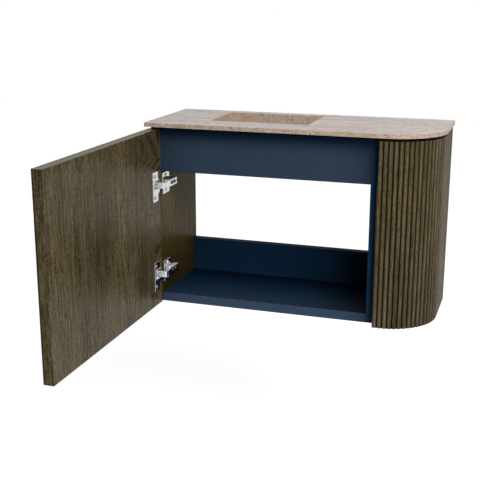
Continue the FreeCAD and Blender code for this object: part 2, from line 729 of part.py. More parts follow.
def make_arm(hinge, level):
    """Channel over the spine with a cranked neck that reaches into the cup."""
    channel = box(f"{hinge}_arm_block", ("arm_lower", "arm_near", f"{level} - arm_width / 2"),
                  ("spine_upper + arm_wall - arm_lower", "arm_length", "arm_width"))
    groove = box(f"{hinge}_arm_groove", ("arm_lower", "arm_near + arm_front_wall",
                                         f"{level} - arm_width / 2 + arm_wall"),
                 ("spine_upper - arm_lower", "arm_length", "arm_width - 2 * arm_wall"))
    notch = box(f"{hinge}_arm_notch",
                ("spine_upper", "arm_near + arm_length - arm_tail", f"{level} - arm_notch / 2"),
                ("arm_wall", "arm_tail", "arm_notch"))
    passes = screw_passes(f"{hinge}_arm_pass", "arm_screw", "spine_upper", "arm_wall", arm_screw_spots(hinge))
    rail = cut(f"{hinge}_arm_rail", channel, [groove, notch] + passes)
    thick, bend, reach = size("neck_thick"), size("neck_bend"), size("neck_reach")
    rise = size("arm_near") + size("arm_front_wall") - size("pivot_along")
    low, high = -thick / 2, thick / 2
    turn = reach - bend
    outer = bend + thick
    slant = math.sqrt(0.5)
    edges = [
        Part.LineSegment(point(0, low), point(turn, low)),
        Part.Arc(point(turn, low), point(turn + outer * slant, low + outer * (1 - slant)),
                 point(turn + outer, low + outer)),
        Part.LineSegment(point(turn + outer, low + outer), point(turn + outer, rise)),
        Part.LineSegment(point(turn + outer, rise), point(reach, rise)),
        Part.LineSegment(point(reach, rise), point(reach, high + bend)),
        Part.Arc(point(reach, high + bend), point(turn + bend * slant, high + bend * (1 - slant)),
                 point(turn, high)),
        Part.LineSegment(point(turn, high), point(0, high)),
        Part.LineSegment(point(0, high), point(0, low)),
    ]
    foot = ("pivot_across", "pivot_along", f"{level} - neck_height / 2")
    neck = outline_body(f"{hinge}_arm_neck", edges, foot, "neck_height")
    knuckle = rod(f"{hinge}_arm_knuckle", "Z", foot, "knuckle_radius", "neck_height")
    bore = rod(f"{hinge}_knuckle_bore", "Z", foot, "knuckle_bore_radius", "neck_height")
    line = box(f"{hinge}_neck_line", ("spine_upper + arm_wall - neck_line_deep",
                                      "carcass_front - neck_line_back - neck_line_width / 2",
                                      f"{level} - neck_height / 2"),
               ("neck_line_deep", "neck_line_width", "neck_height"))
    return cut(f"{hinge}_hinge_arm", fuse(f"{hinge}_arm_solid", [rail, neck, knuckle]), [bore, line])


sub_parts = [make_stone_top()] + make_bowl() + make_carcass() + make_curved_end() + make_door()
sub_parts += make_hinge("upper") + make_hinge("lower")
doc.recompute()

failed = [piece.Name for piece in doc.Objects if {"Invalid", "Error"} & set(piece.State)]
failed += [piece.Label for piece in sub_parts if piece.Shape.isNull() or not piece.Shape.isValid()]
if failed:
    raise SystemExit(f"these pieces failed: {failed}")
os.makedirs("parts", exist_ok=True)
for piece in sub_parts:
    piece.Shape.exportStep(f"parts/{piece.Label}.step")
    extent = piece.Shape.BoundBox
    print(f"{piece.Label}: {len(piece.Shape.Solids)} solids, {piece.Shape.Volume:.1f} mm3, "
          f"{extent.XLength:.2f} x {extent.YLength:.2f} x {extent.ZLength:.2f}")
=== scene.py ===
import math

import bpy
import numpy as np
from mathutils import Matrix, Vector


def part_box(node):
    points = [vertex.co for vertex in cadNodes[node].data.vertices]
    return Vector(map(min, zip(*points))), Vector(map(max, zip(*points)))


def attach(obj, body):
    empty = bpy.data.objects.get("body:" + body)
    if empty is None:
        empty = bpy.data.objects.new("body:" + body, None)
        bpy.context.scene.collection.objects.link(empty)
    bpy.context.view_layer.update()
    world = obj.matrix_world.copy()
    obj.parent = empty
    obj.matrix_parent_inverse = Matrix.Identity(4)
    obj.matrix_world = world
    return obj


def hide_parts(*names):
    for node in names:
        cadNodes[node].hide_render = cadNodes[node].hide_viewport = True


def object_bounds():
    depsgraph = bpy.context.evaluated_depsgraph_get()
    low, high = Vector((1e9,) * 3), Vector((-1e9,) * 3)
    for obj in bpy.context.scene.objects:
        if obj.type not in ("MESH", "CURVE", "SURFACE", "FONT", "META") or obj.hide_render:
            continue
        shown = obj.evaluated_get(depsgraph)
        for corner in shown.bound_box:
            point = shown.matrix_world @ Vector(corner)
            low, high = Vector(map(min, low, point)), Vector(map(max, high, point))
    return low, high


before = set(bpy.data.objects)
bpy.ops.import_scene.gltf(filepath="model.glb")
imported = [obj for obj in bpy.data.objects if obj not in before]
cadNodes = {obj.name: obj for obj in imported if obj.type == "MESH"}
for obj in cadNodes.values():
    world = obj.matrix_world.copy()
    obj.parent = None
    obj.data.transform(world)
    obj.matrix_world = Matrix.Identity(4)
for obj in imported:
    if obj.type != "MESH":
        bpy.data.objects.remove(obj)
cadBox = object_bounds()  # the solids' box, before anything is added
print("frame loaded,", len(cadNodes), "pieces")


# mesh tools

def addObject(name, data):
    thing = bpy.data.objects.new(name, data)
    bpy.context.scene.collection.objects.link(thing)
    return thing


def signedVolume(points, faces):
    # a sixth of the corners' triple products, summed over each face's two triangles
    corners = points[faces]
    first = np.cross(corners[:, 0], corners[:, 1])
    second = np.cross(corners[:, 0], corners[:, 2])
    total = np.einsum("ij,ij->i", first, corners[:, 2]) + np.einsum("ij,ij->i", second, corners[:, 3])
    return total.sum() / 6


def addPiece(name, points, faces, body, finish, replaced, marks=(), sharpDegrees=32):
    # points and four-sided faces become one mesh at the origin, turned outwards by its signed volume
    if signedVolume(points, faces) < 0:
        faces = faces[:, ::-1]
    mesh = bpy.data.meshes.new(name)
    mesh.vertices.add(len(points))
    mesh.vertices.foreach_set("co", points.ravel())
    mesh.loops.add(faces.size)
    mesh.loops.foreach_set("vertex_index", faces.ravel())
    mesh.polygons.add(len(faces))
    mesh.polygons.foreach_set("loop_start", np.arange(0, faces.size, 4))
    mesh.update(calc_edges=True)
    mesh.validate()
    mesh.polygons.foreach_set("use_smooth", np.ones(len(mesh.polygons), bool))
    mesh.set_sharp_from_angle(angle=math.radians(sharpDegrees))
    for mark, values in dict(marks).items():
        layer = mesh.attributes.new(mark, "FLOAT", "POINT")
        layer.data.foreach_set("value", values.astype(np.float32).ravel())
    piece = addObject(name, mesh)
    mesh.materials.append(finish)
    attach(piece, body)
    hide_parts(*replaced)
    return piece


def pointNumbers(grid):
    rows, columns = grid.shape[:2]
    return np.arange(rows * columns).reshape(rows, columns)


def quads(*corners):
    return np.stack(corners, -1).reshape(-1, 4)


def sewnSheets(front, back):
    # two sheets on one grid, the second turned over and sewn to the first all round its border
    number = pointNumbers(front)
    cells = quads(number[:-1, :-1], number[1:, :-1], number[1:, 1:], number[:-1, 1:])
    rim = np.concatenate([number[:-1, 0], number[-1, :-1], number[:0:-1, -1], number[0, :0:-1]])
    onward = np.roll(rim, -1)
    under = number.size
    walls = quads(onward, rim, rim + under, onward + under)
    points = np.concatenate([front.reshape(-1, 3), back.reshape(-1, 3)])
    return points, np.concatenate([cells, cells[:, ::-1] + under, walls])


def closedRing(grid):
    # a section carried round a loop: the grid closes on itself both ways
    number = pointNumbers(grid)
    along, across = np.roll(number, -1, 0), np.roll(number, -1, 1)
    both = np.roll(along, -1, 1)
    return grid.reshape(-1, 3), quads(number, along, both, across)


# finish tools

def newFinish(name, **sockets):
    # a material whose fixed values are set on the shader's own sockets
    finish = bpy.data.materials.new(name)
    finish.use_nodes = True
    skin = finish.node_tree.nodes["Principled BSDF"]
    for socket, value in sockets.items():
        skin.inputs[socket.replace("_", " ")].default_value = value
    return finish, finish.node_tree, skin


def dress(tree, skin, **sockets):
    for socket, value in sockets.items():
        tree.links.new(value, skin.inputs[socket.replace("_", " ")])


def addNode(tree, kind, inputs=(), **settings):
    node = tree.nodes.new("ShaderNode" + kind)
    for setting, value in settings.items():
        setattr(node, setting, value)
    for socket, value in dict(inputs).items():
        if isinstance(value, bpy.types.NodeSocket):
            tree.links.new(value, node.inputs[socket])
        else:
            node.inputs[socket].default_value = value
    return node


def objectPlace(tree):
    return addNode(tree, "TexCoord").outputs["Object"]


def partsOf(tree, vector):
    return addNode(tree, "SeparateXYZ", {"Vector": vector}).outputs


def facingParts(tree):
    return partsOf(tree, addNode(tree, "TexCoord").outputs["Normal"])


def markOf(tree, name):
    return addNode(tree, "Attribute", attribute_name=name).outputs["Fac"]


def cloud(tree, place, scale, detail=3.0, rough=0.5, twist=0.0, shift=(0, 0, 0)):
    # noise of one scale, or drawn out by a scale of its own along X, Y and Z
    if isinstance(scale, tuple):
        sockets = {"Vector": place, "Scale": scale, "Location": shift}
        place = addNode(tree, "Mapping", sockets).outputs["Vector"]
        scale = 1.0
    sockets = {"Vector": place, "Scale": scale, "Detail": detail, "Roughness": rough, "Distortion": twist}
    return addNode(tree, "TexNoise", sockets).outputs["Fac"]


def sums(tree, operation, first, second=0.0, third=0.0):
    return addNode(tree, "Math", {0: first, 1: second, 2: third}, operation=operation).outputs[0]


def times(tree, first, *others):
    for other in others:
        first = sums(tree, "MULTIPLY", first, other)
    return first


def between(tree, share, ends):
    # the first end where the share is nought, the second where it is one
    low, high = ends
    return sums(tree, "MULTIPLY_ADD", share, high - low, low)


def bellAt(tree, value, spot, reach):
    # one at the spot, falling as a bell: e to the minus (distance from the spot over reach) squared
    share = sums(tree, "DIVIDE", sums(tree, "SUBTRACT", value, spot), reach)
    return sums(tree, "POWER", math.e, times(tree, share, share, -1.0))


def spotAt(tree, parts, middle, reach):
    # one at the middle, falling as a bell along Y and along Z
    bells = [bellAt(tree, parts[way], spot, wide) for way, spot, wide in zip("YZ", middle, reach)]
    return times(tree, *bells)


def ramp(tree, value, stops):
    node = addNode(tree, "ValToRGB", {"Fac": value})
    marks = node.color_ramp.elements
    while len(marks) < len(stops):
        marks.new(0.5)
    for mark, (spot, shade) in zip(marks, stops):
        mark.position = spot
        mark.color = (*shade, 1) if isinstance(shade, tuple) else (shade, shade, shade, 1)
    return node.outputs["Color"]


def mixed(tree, share, low, high, way="MIX"):
    sockets = {0: share, 6: low if isinstance(low, bpy.types.NodeSocket) else (*low, 1),
               7: high if isinstance(high, bpy.types.NodeSocket) else (*high, 1)}
    return addNode(tree, "Mix", sockets, data_type="RGBA", blend_type=way).outputs[2]


def shaded(tree, tone, shade):
    # the tone times a grey level, a tint or another node's result
    if isinstance(shade, float):
        shade = (shade, shade, shade)
    return mixed(tree, 1.0, tone, shade, "MULTIPLY")


def lifted(shade, lift):
    return tuple(lift * value for value in shade)


def raised(tree, height, distance):
    return addNode(tree, "Bump", {"Height": height, "Distance": distance}).outputs["Normal"]


# smoked oak veneer: soft tone patches, streaks and pores drawn out along the grain, which runs up the piece

oak = {
    "light": (0.187, 0.150, 0.084), "pale": (0.132, 0.1055, 0.054), "warm": (0.0805, 0.061, 0.026),
    "dark": (0.0215, 0.0153, 0.004), "band": (0.090, 0.076, 0.026), "bandDark": (0.074, 0.060, 0.018),
    "toneSpots": (("dark", -0.10), ("warm", -0.03), ("pale", 0.035), ("light", 0.11)),
    "swayScale": (7.0, 7.0, 2.4), "sway": 0.006,
    "streaks": (((200.0, 200.0, 5.0), 0.36), ((280.0, 280.0, 28.0), 0.26), ((320.0, 320.0, 220.0), 0.38)),
    "patchScale": (14.0, 14.0, 3.0), "patchStops": ((0.30, 0.80), (0.70, 1.15)),
    "fibreScale": (520.0, 520.0, 20.0), "fibreStops": ((0.34, 0.55), (0.52, 0.0)),
    "tickScale": (300.0, 300.0, 34.0), "tickStops": ((0.30, 0.6), (0.40, 0.0)),
    "poreScale": (1400.0, 1400.0, 60.0), "poreStops": ((0.33, 1.0), (0.43, 0.0)), "poreShare": 0.55,
    "poreDepth": 0.00012, "roughness": (0.26, 0.40), "bandScale": (200.0, 9.0, 200.0), "bandThick": 0.0002,
}


def oakGrain(tree, place):
    # the grain's own place: points swayed sideways by a slow cloud, so that streaks wander a little
    sway = cloud(tree, place, oak["swayScale"], detail=1.0)
    shift = sums(tree, "MULTIPLY_ADD", sway, oak["sway"], -oak["sway"] / 2)
    aside = addNode(tree, "CombineXYZ", {"X": shift, "Y": shift}).outputs["Vector"]
    return addNode(tree, "VectorMath", {0: place, 1: aside}, operation="ADD").outputs["Vector"]


def oakTone(tree, grain, contrast):
    # streak: long bands, strokes and short flecks added up by their shares; the stops of its tone are drawn
    # together for more contrast; ticks are short dark strokes of the open pores
    streak = 0.0
    for scale, share in oak["streaks"]:
        streak = sums(tree, "MULTIPLY_ADD", cloud(tree, grain, scale, detail=1.0), share, streak)
    patch = cloud(tree, grain, oak["patchScale"], detail=2.0)
    fibre = cloud(tree, grain, oak["fibreScale"])
    pore = ramp(tree, cloud(tree, grain, oak["poreScale"]), oak["poreStops"])
    tick = ramp(tree, cloud(tree, grain, oak["tickScale"], detail=1.0), oak["tickStops"])
    tone = ramp(tree, streak, [(0.5 + spot / contrast, oak[shade]) for shade, spot in oak["toneSpots"]])
    tone = shaded(tree, tone, ramp(tree, patch, oak["patchStops"]))
    tone = mixed(tree, ramp(tree, fibre, oak["fibreStops"]), tone, oak["dark"])
    tone = mixed(tree, times(tree, tick, contrast), tone, oak["dark"])
    tone = mixed(tree, times(tree, pore, oak["poreShare"]), tone, oak["dark"])
    return tone, streak, fibre, pore


def bandTone(tree, place):
    # plain edge band with a faint figure along the edge
    figure = cloud(tree, place, oak["bandScale"], detail=2.0)
    return mixed(tree, figure, oak["bandDark"], oak["band"])


def dressOak(tree, skin, tone, streak, fibre, pore):
    dress(tree, skin, Base_Color=tone, Roughness=between(tree, streak, oak["roughness"]),
          Normal=raised(tree, sums(tree, "SUBTRACT", fibre, pore), oak["poreDepth"]))


# the door's oak: a flame figure and small knots at the hinge edge, broad patches, of which the two lighter
# ones low on the door are painted sheen reflection, and single dark strokes; each patch and stroke is its
# middle in Y and Z, its reach both ways and the share it adds

flame = {
    "y": -0.2087, "z": -0.003, "rings": 26.0, "slope": 0.93, "bend": 0.010, "squat": 2.2,
    "wide": 0.095, "tall": 0.090, "wobble": 0.7, "wobbleScale": (90.0, 90.0, 40.0),
    "lineStops": ((0.0, 1.0), (0.18, 1.0), (0.34, 0.0), (0.84, 0.0), (0.94, 1.0)),
    "fadeScale": (70.0, 70.0, 35.0), "fadeStops": ((0.38, 0.35), (0.54, 1.0)),
    "knots": ((-0.2186, -0.2009), (-0.2100, -0.1990), (-0.2113, -0.1775), (-0.2284, -0.2050),
              (-0.2387, -0.2085), (-0.2224, -0.1641), (-0.2633, -0.3019), (-0.2445, -0.3057)),
    "knotSize": (0.0046, 0.0048), "knotReach": 2.4, "knotRings": 2.0, "knotDark": 0.95,
}
doorFace = {
    "contrast": 0.71, "sheen": 0.064, "freeEdgeShade": 0.85,
    "patches": ((-0.490, -0.130, 0.050, 0.100, -0.30), (-0.297, -0.235, 0.045, 0.080, -0.42),
                (-0.397, -0.240, 0.025, 0.085, 0.24), (-0.660, -0.250, 0.060, 0.150, 0.16),
                (-0.250, 0.020, 0.045, 0.045, -0.28)),
    "strokes": ((-0.354, 0.013, 0.0026, 0.017, -0.42), (-0.296, 0.022, 0.0026, 0.024, -0.42),
                (-0.438, -0.153, 0.0026, 0.024, -0.34), (-0.500, -0.146, 0.0026, 0.026, -0.34)),
}


def oakFlame(tree, place):
    # growth lines where rings x (height's bent distance from the eye less slope x offset) passes a whole
    # number, bent round the knots, broken by a cloud and faded out away from the eye
    parts = partsOf(tree, place)
    offset = sums(tree, "SUBTRACT", flame["y"], parts["Y"])
    rise = sums(tree, "SUBTRACT", parts["Z"], flame["z"])
    away = sums(tree, "MAXIMUM", rise, times(tree, rise, -flame["squat"]))
    bent = sums(tree, "SQRT", sums(tree, "MULTIPLY_ADD", away, away, flame["bend"] ** 2))
    climb = sums(tree, "MULTIPLY_ADD", offset, -flame["slope"], bent)
    wobble = times(tree, cloud(tree, place, flame["wobbleScale"]), flame["wobble"])
    rings = sums(tree, "MULTIPLY_ADD", climb, flame["rings"], wobble)
    shown = spotAt(tree, parts, (flame["y"], flame["z"]), (flame["wide"], flame["tall"]))
    eye = 0.0
    for knot in flame["knots"]:
        near = spotAt(tree, parts, knot, lifted(flame["knotSize"], flame["knotReach"]))
        rings = sums(tree, "MULTIPLY_ADD", near, flame["knotRings"], rings)
        shown = sums(tree, "MAXIMUM", shown, near)
        eye = sums(tree, "MAXIMUM", spotAt(tree, parts, knot, flame["knotSize"]), eye)
    line = ramp(tree, sums(tree, "FRACT", rings), flame["lineStops"])
    fade = ramp(tree, cloud(tree, place, flame["fadeScale"], detail=1.0), flame["fadeStops"])
    return times(tree, line, fade, shown), times(tree, eye, flame["knotDark"])


def doorOakFinish(name):
    # the free edge is a little darker, and the upper edge is banded
    finish, tree, skin = newFinish(name, IOR=1.5, Specular_IOR_Level=doorFace["sheen"])
    place = objectPlace(tree)
    parts = partsOf(tree, place)
    tone, streak, fibre, pore = oakTone(tree, oakGrain(tree, place), doorFace["contrast"])
    for figure in oakFlame(tree, place):
        tone = mixed(tree, figure, tone, oak["dark"])
    # broad patches and single strokes; the two lighter patches, low on the door, are painted sheen reflection
    broad = 1.0
    for toneY, toneZ, wide, tall, share in doorFace["patches"] + doorFace["strokes"]:
        broad = sums(tree, "MULTIPLY_ADD", spotAt(tree, parts, (toneY, toneZ), (wide, tall)), share, broad)
    tone = shaded(tree, tone, broad)
    low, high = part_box("door_board")
    onTop = sums(tree, "GREATER_THAN", parts["Z"], high.z - oak["bandThick"])
    onFree = sums(tree, "LESS_THAN", parts["Y"], low.y + oak["bandThick"])
    tone = mixed(tree, onFree, tone, shaded(tree, tone, doorFace["freeEdgeShade"]))
    tone = mixed(tree, onTop, tone, bandTone(tree, place))
    dressOak(tree, skin, tone, streak, fibre, pore)
    return finish


# the side panel's oak: two leaves of veneer that meet at an upright joint; inside, the leaf at the wall is
# paler, and painted shade of the bay gives the inner face a darker, warmer copy of the oak, darker still
# towards the bottom board

sideFace = {"contrast": 0.55, "sheen": 0.026, "gloss": (1.0, 0.80, 0.56, 1.0), "insideFrom": -0.2225,
            "insideShadeTint": (0.99, 0.88, 0.55), "leafJoint": -0.099, "leafShade": 1.34, "jointWidth": 0.0016,
            "jointShare": 0.7, "lowShade": 0.88, "lowReach": 0.135}


def sideOakFinish(name):
    finish, tree, skin = newFinish(name, IOR=1.5, Specular_IOR_Level=sideFace["sheen"],
                                   Specular_Tint=sideFace["gloss"])
    place = objectPlace(tree)
    parts = partsOf(tree, place)
    tone, streak, fibre, pore = oakTone(tree, oakGrain(tree, place), sideFace["contrast"])
    inside = sums(tree, "GREATER_THAN", parts["X"], sideFace["insideFrom"])
    leaf = times(tree, inside, sums(tree, "GREATER_THAN", parts["Y"], sideFace["leafJoint"]))
    tone = mixed(tree, leaf, tone, shaded(tree, tone, sideFace["leafShade"]))
    joint = bellAt(tree, parts["Y"], sideFace["leafJoint"], sideFace["jointWidth"])
    tone = mixed(tree, times(tree, joint, sideFace["jointShare"]), tone, oak["dark"])
    # painted shade: the inner face takes a darker, warmer copy of the oak
    tone = mixed(tree, inside, tone, shaded(tree, tone, sideFace["insideShadeTint"]))
    # painted shade towards the bottom board
    low = bellAt(tree, parts["Z"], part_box("bottom_panel")[1].z, sideFace["lowReach"])
    tone = mixed(tree, times(tree, low, sideFace["lowShade"], inside), tone, oak["dark"])
    dressOak(tree, skin, tone, streak, fibre, pore)
    return finish


# the reeds' oak: each reed keeps a tone of its own, the valleys are painted dark as shade, and the upper ends
# are banded

reedFace = {"contrast": 0.45, "sheen": 0.070, "tint": (0.98, 0.99, 1.10), "ownTone": (1.06, 1.22),
            "valleyShadeStops": ((0.06, 0.0), (0.58, 0.98))}


def oakReedFinish(name):
    finish, tree, skin = newFinish(name, IOR=1.5, Specular_IOR_Level=reedFace["sheen"])
    place = objectPlace(tree)
    tone, streak, fibre, pore = oakTone(tree, oakGrain(tree, place), reedFace["contrast"])
    ownStops = [(end, lifted(reedFace["tint"], share)) for end, share in enumerate(reedFace["ownTone"])]
    tone = shaded(tree, tone, ramp(tree, markOf(tree, "reedTone"), ownStops))
    # painted shade in the valleys between the reeds
    tone = mixed(tree, ramp(tree, markOf(tree, "reedFoot"), reedFace["valleyShadeStops"]), tone, oak["dark"])
    tone = mixed(tree, markOf(tree, "reedTop"), tone, bandTone(tree, place))
    dressOak(tree, skin, tone, streak, fibre, pore)
    return finish


# navy coated board: a faint mottle and a fine skin; the inside takes a darker copy of the navy than the
# fronts, painted shade of the bay, and the floor board a darker copy again. The fronts get painted shadow
# under the slab, at the bay's two ends and beside the curved end, while the partition's front edge has a tone
# of its own; inside, painted shade darkens the uprights' upward faces, the boards beside the partition and
# the floor towards the back, and painted light makes the floor paler towards its front edge and on its front
# face

navy = {
    "inside": (0.0038, 0.0158, 0.0360), "insideWorn": (0.0050, 0.0185, 0.0415), "upwardFrom": 0.9,
    "front": (0.0302, 0.0505, 0.0828), "frontWorn": (0.0338, 0.0551, 0.0893), "frontFrom": -0.2026,
    "edge": (0.0145, 0.0566, 0.1220), "nookShade": (0.0001, 0.0008, 0.0028), "backReach": 0.062,
    "foreLight": (0.0157, 0.0325, 0.0613), "foreReach": 0.056, "flankReach": 0.045, "flankShare": 0.24,
    "endReach": 0.009, "endShare": 0.95,
    "underSlabShadow": (0.0001, 0.0165, 0.0540), "underSlabShadowReach": 0.020, "underSlabShadowShare": 0.97,
    "roughness": (0.50, 0.62), "sheen": 0.025, "mottleScale": 26.0, "skinScale": 900.0, "skinDepth": 0.00004,
    "upright": {"lift": 1.40, "frontLift": 1.0, "topShade": 0.30, "nookReach": 0.060, "nookShare": 0.82,
                "backShare": 0.0, "foreShare": 0.0},
    "floor": {"lift": 1.00, "frontLift": 1.42, "topShade": 1.0, "nookReach": 0.090, "nookShare": 0.86,
              "backShare": 0.65, "foreShare": 0.75},
}


def navyFinish(name, board):
    finish, tree, skin = newFinish(name, IOR=1.47, Specular_IOR_Level=navy["sheen"])
    place = objectPlace(tree)
    parts, facing = partsOf(tree, place), facingParts(tree)
    mottle = cloud(tree, place, navy["mottleScale"], detail=5.0)
    skinGrain = cloud(tree, place, navy["skinScale"], detail=2.0)
    bayLeft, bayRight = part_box("left_side_panel")[1].x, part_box("partition_panel")[0].x
    # inside tones: a darker copy of the navy than the fronts, painted shade of the bay; the floor board's
    # lift is lower still
    plain = mixed(tree, mottle, *[lifted(navy[tone], board["lift"]) for tone in ("inside", "insideWorn")])
    # painted shade: faces that look up are darkened by the board's top shade
    upward = sums(tree, "GREATER_THAN", facing["Z"], navy["upwardFrom"])
    inside = mixed(tree, upward, plain, shaded(tree, plain, board["topShade"]))
    # painted light: the floor's upper face is paler towards its front edge
    foreLight = bellAt(tree, parts["Y"], navy["frontFrom"], navy["foreReach"])
    inside = mixed(tree, times(tree, foreLight, upward, board["foreShare"]), inside, navy["foreLight"])
    # painted shade beside the partition, on faces that do not look sideways
    nookShade = bellAt(tree, parts["X"], bayRight, board["nookReach"])
    notSide = sums(tree, "SUBTRACT", 1.0, sums(tree, "ABSOLUTE", facing["X"]))
    inside = mixed(tree, times(tree, nookShade, notSide, board["nookShare"]), inside, navy["nookShade"])
    # painted shade on the floor towards the back rail
    behind = bellAt(tree, parts["Y"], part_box("lower_back_rail")[0].y, navy["backReach"])
    inside = mixed(tree, times(tree, behind, board["backShare"]), inside, navy["nookShade"])
    # front tones; on the floor board the front face is lifted lighter, painted light
    front = mixed(tree, mottle, *[lifted(navy[tone], board["frontLift"]) for tone in ("front", "frontWorn")])
    # painted shade on the fronts at the bay's two ends
    flanks = [bellAt(tree, parts["X"], end, navy["flankReach"]) for end in (bayLeft, bayRight)]
    flank = times(tree, sums(tree, "MAXIMUM", *flanks), navy["flankShare"])
    front = mixed(tree, flank, front, navy["nookShade"])
    front = mixed(tree, sums(tree, "GREATER_THAN", parts["X"], bayRight), front, navy["edge"])
    # painted shadow of the curved end on the partition's front edge
    beside = bellAt(tree, parts["X"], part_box("end_reeded_facing")[0].x, navy["endReach"])
    front = mixed(tree, times(tree, beside, navy["endShare"]), front, navy["nookShade"])
    # painted shadow on the fronts just under the slab
    underSlabShadow = bellAt(tree, parts["Z"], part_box("stone_top")[0].z, navy["underSlabShadowReach"])
    front = mixed(tree, times(tree, underSlabShadow, navy["underSlabShadowShare"]), front, navy["underSlabShadow"])
    isFront = sums(tree, "LESS_THAN", parts["Y"], navy["frontFrom"])
    dress(tree, skin, Base_Color=mixed(tree, isFront, inside, front),
          Roughness=between(tree, mottle, navy["roughness"]),
          Normal=raised(tree, skinGrain, navy["skinDepth"]))
    return finish


# travertine cut along its bedding: bands and hair lines along X, rusty clouds and small dark pits; the pits'
# and specks' near-black is painted shade in the holes, and the cut-edge tone on the basin's walls is partly
# painted shade

stone = {
    "pale": (0.745, 0.650, 0.600), "grey": (0.500, 0.445, 0.440), "tan": (0.565, 0.445, 0.330),
    "sawnAndShade": (0.460, 0.327, 0.222), "rust": (0.400, 0.225, 0.135), "ash": (0.430, 0.370, 0.330),
    "pit": (0.035, 0.022, 0.014), "sawnShare": 0.80, "faceSpecks": 0.30, "sawnSpecks": 0.50,
    "bandScale": (4.0, 66.0, 66.0), "bandStops": ((0.38, 0.0), (0.66, 1.0)),
    "hazeScale": (9.0, 34.0, 34.0), "hazeStops": ((0.46, 0.0), (0.72, 0.75)),
    "hairScale": (13.0, 170.0, 170.0), "hairStops": ((0.34, 0.55), (0.48, 0.0)),
    "fleckScale": (60.0, 190.0, 190.0), "fleckStops": ((0.58, 0.0), (0.74, 0.65)),
    "mottleScale": (85.0, 90.0, 90.0), "mottleStops": ((0.30, 0.80), (0.70, 1.16)),
    "ashScale": (26.0, 70.0, 120.0), "ashStops": ((0.46, 0.0), (0.66, 0.85)), "ashShift": (0.3, 0.7, 0.1),
    "rustScale": (34.0, 90.0, 150.0), "rustStops": ((0.52, 0.0), (0.68, 0.75)),
    "grainScale": (170.0, 210.0, 210.0), "grainStops": ((0.30, 0.66), (0.70, 1.34)),
    "speckScale": (260.0, 360.0, 360.0), "speckStops": ((0.66, 0.0), (0.72, 1.0)),
    "roughness": (0.40, 0.55), "sheen": 0.30, "hairDepth": 0.00007,
}


def travertineFinish(name):
    finish, tree, skin = newFinish(name, IOR=1.5, Specular_IOR_Level=stone["sheen"])
    place = objectPlace(tree)
    # cut-edge tone: the bedding seen end on, and on the basin's walls also painted shade of the basin
    sawnAndShade = markOf(tree, "sawnEdge")  # one on cut edges and bowl walls, where the bedding is seen end on

    def layer(kind, **settings):
        # one cloud of the stone, as it is and by its stops
        amount = cloud(tree, place, stone[kind + "Scale"], **settings)
        return amount, ramp(tree, amount, stone[kind + "Stops"])

    band = layer("band", detail=4.0, rough=0.6, twist=0.4)[1]
    haze = layer("haze", detail=4.0)[1]
    hair, hairShare = layer("hair", detail=4.0)
    fleck = layer("fleck", detail=2.0)[1]
    mottle = layer("mottle", rough=0.6)[1]
    ashen = layer("ash", rough=0.6, shift=stone["ashShift"])[1]
    rusty = layer("rust", rough=0.6, twist=0.3)[1]
    grain = layer("grain", rough=0.6)[1]
    speck = layer("speck")[1]
    tone = mixed(tree, band, stone["pale"], stone["grey"])
    tone = mixed(tree, haze, tone, stone["tan"])
    tone = mixed(tree, hairShare, tone, stone["grey"])
    tone = mixed(tree, fleck, tone, stone["tan"])
    tone = shaded(tree, tone, mottle)
    edge = mixed(tree, ashen, stone["sawnAndShade"], stone["ash"])
    edge = mixed(tree, rusty, edge, stone["rust"])
    edge = shaded(tree, edge, grain)
    tone = mixed(tree, times(tree, sawnAndShade, stone["sawnShare"]), tone, edge)
    # pits and specks take a near-black: painted shade in the holes
    allowed = sums(tree, "MULTIPLY_ADD", sawnAndShade, stone["sawnSpecks"], stone["faceSpecks"])
    speckShare = times(tree, speck, allowed)
    tone = mixed(tree, speckShare, tone, stone["pit"])
    tone = mixed(tree, markOf(tree, "pit"), tone, stone["pit"])
    dress(tree, skin, Base_Color=tone, Roughness=between(tree, hair, stone["roughness"]),
          Normal=raised(tree, sums(tree, "SUBTRACT", hair, speckShare), stone["hairDepth"]))
    return finish


# nickel plate on pressed steel, and the plain steel of the pins; the arm screws' near black is painted shade
# of the dark holes at the arm's end

metal = {"nickel": (0.82, 0.82, 0.815), "polished": (0.62, 0.62, 0.625), "steel": (0.52, 0.52, 0.53),
         "cupScrew": (0.34, 0.34, 0.345), "armScrew": (0.06, 0.06, 0.065), "satin": 0.3,
         "polishStops": ((0.75, 0.0), (0.95, 1.0)),
         "smearScale": 160.0, "smearStops": ((0.3, 0.90), (0.7, 1.0)),
         "grindScale": (90.0, 900.0, 900.0), "satinRough": (0.22, 0.36), "polishRough": (0.07, 0.16)}


def metalFinish(name, shade, polishedShade):
    # faces that look sideways come polished from the press, cut edges and bends stay satin; the satin faces'
    # pale, part-metal tone is also painted reflection of the white surround that the hinge's neck and edges
    # show
    finish, tree, skin = newFinish(name)
    place = objectPlace(tree)
    polish = ramp(tree, sums(tree, "ABSOLUTE", facingParts(tree)["X"]), metal["polishStops"])
    smear = cloud(tree, place, metal["smearScale"], detail=4.0)
    grind = cloud(tree, place, metal["grindScale"], detail=2.0)
    tone = shaded(tree, mixed(tree, polish, shade, polishedShade), ramp(tree, smear, metal["smearStops"]))
    satinRough, polishRough = (between(tree, grind, metal[ends]) for ends in ("satinRough", "polishRough"))
    rough = addNode(tree, "Mix", {0: polish, 2: satinRough, 3: polishRough}).outputs[0]
    dress(tree, skin, Base_Color=tone, Metallic=between(tree, polish, (metal["satin"], 1.0)), Roughness=rough)
    return finish


# wood that hardly shows: beech dowels, and the core of the curved end glued up from thin layers

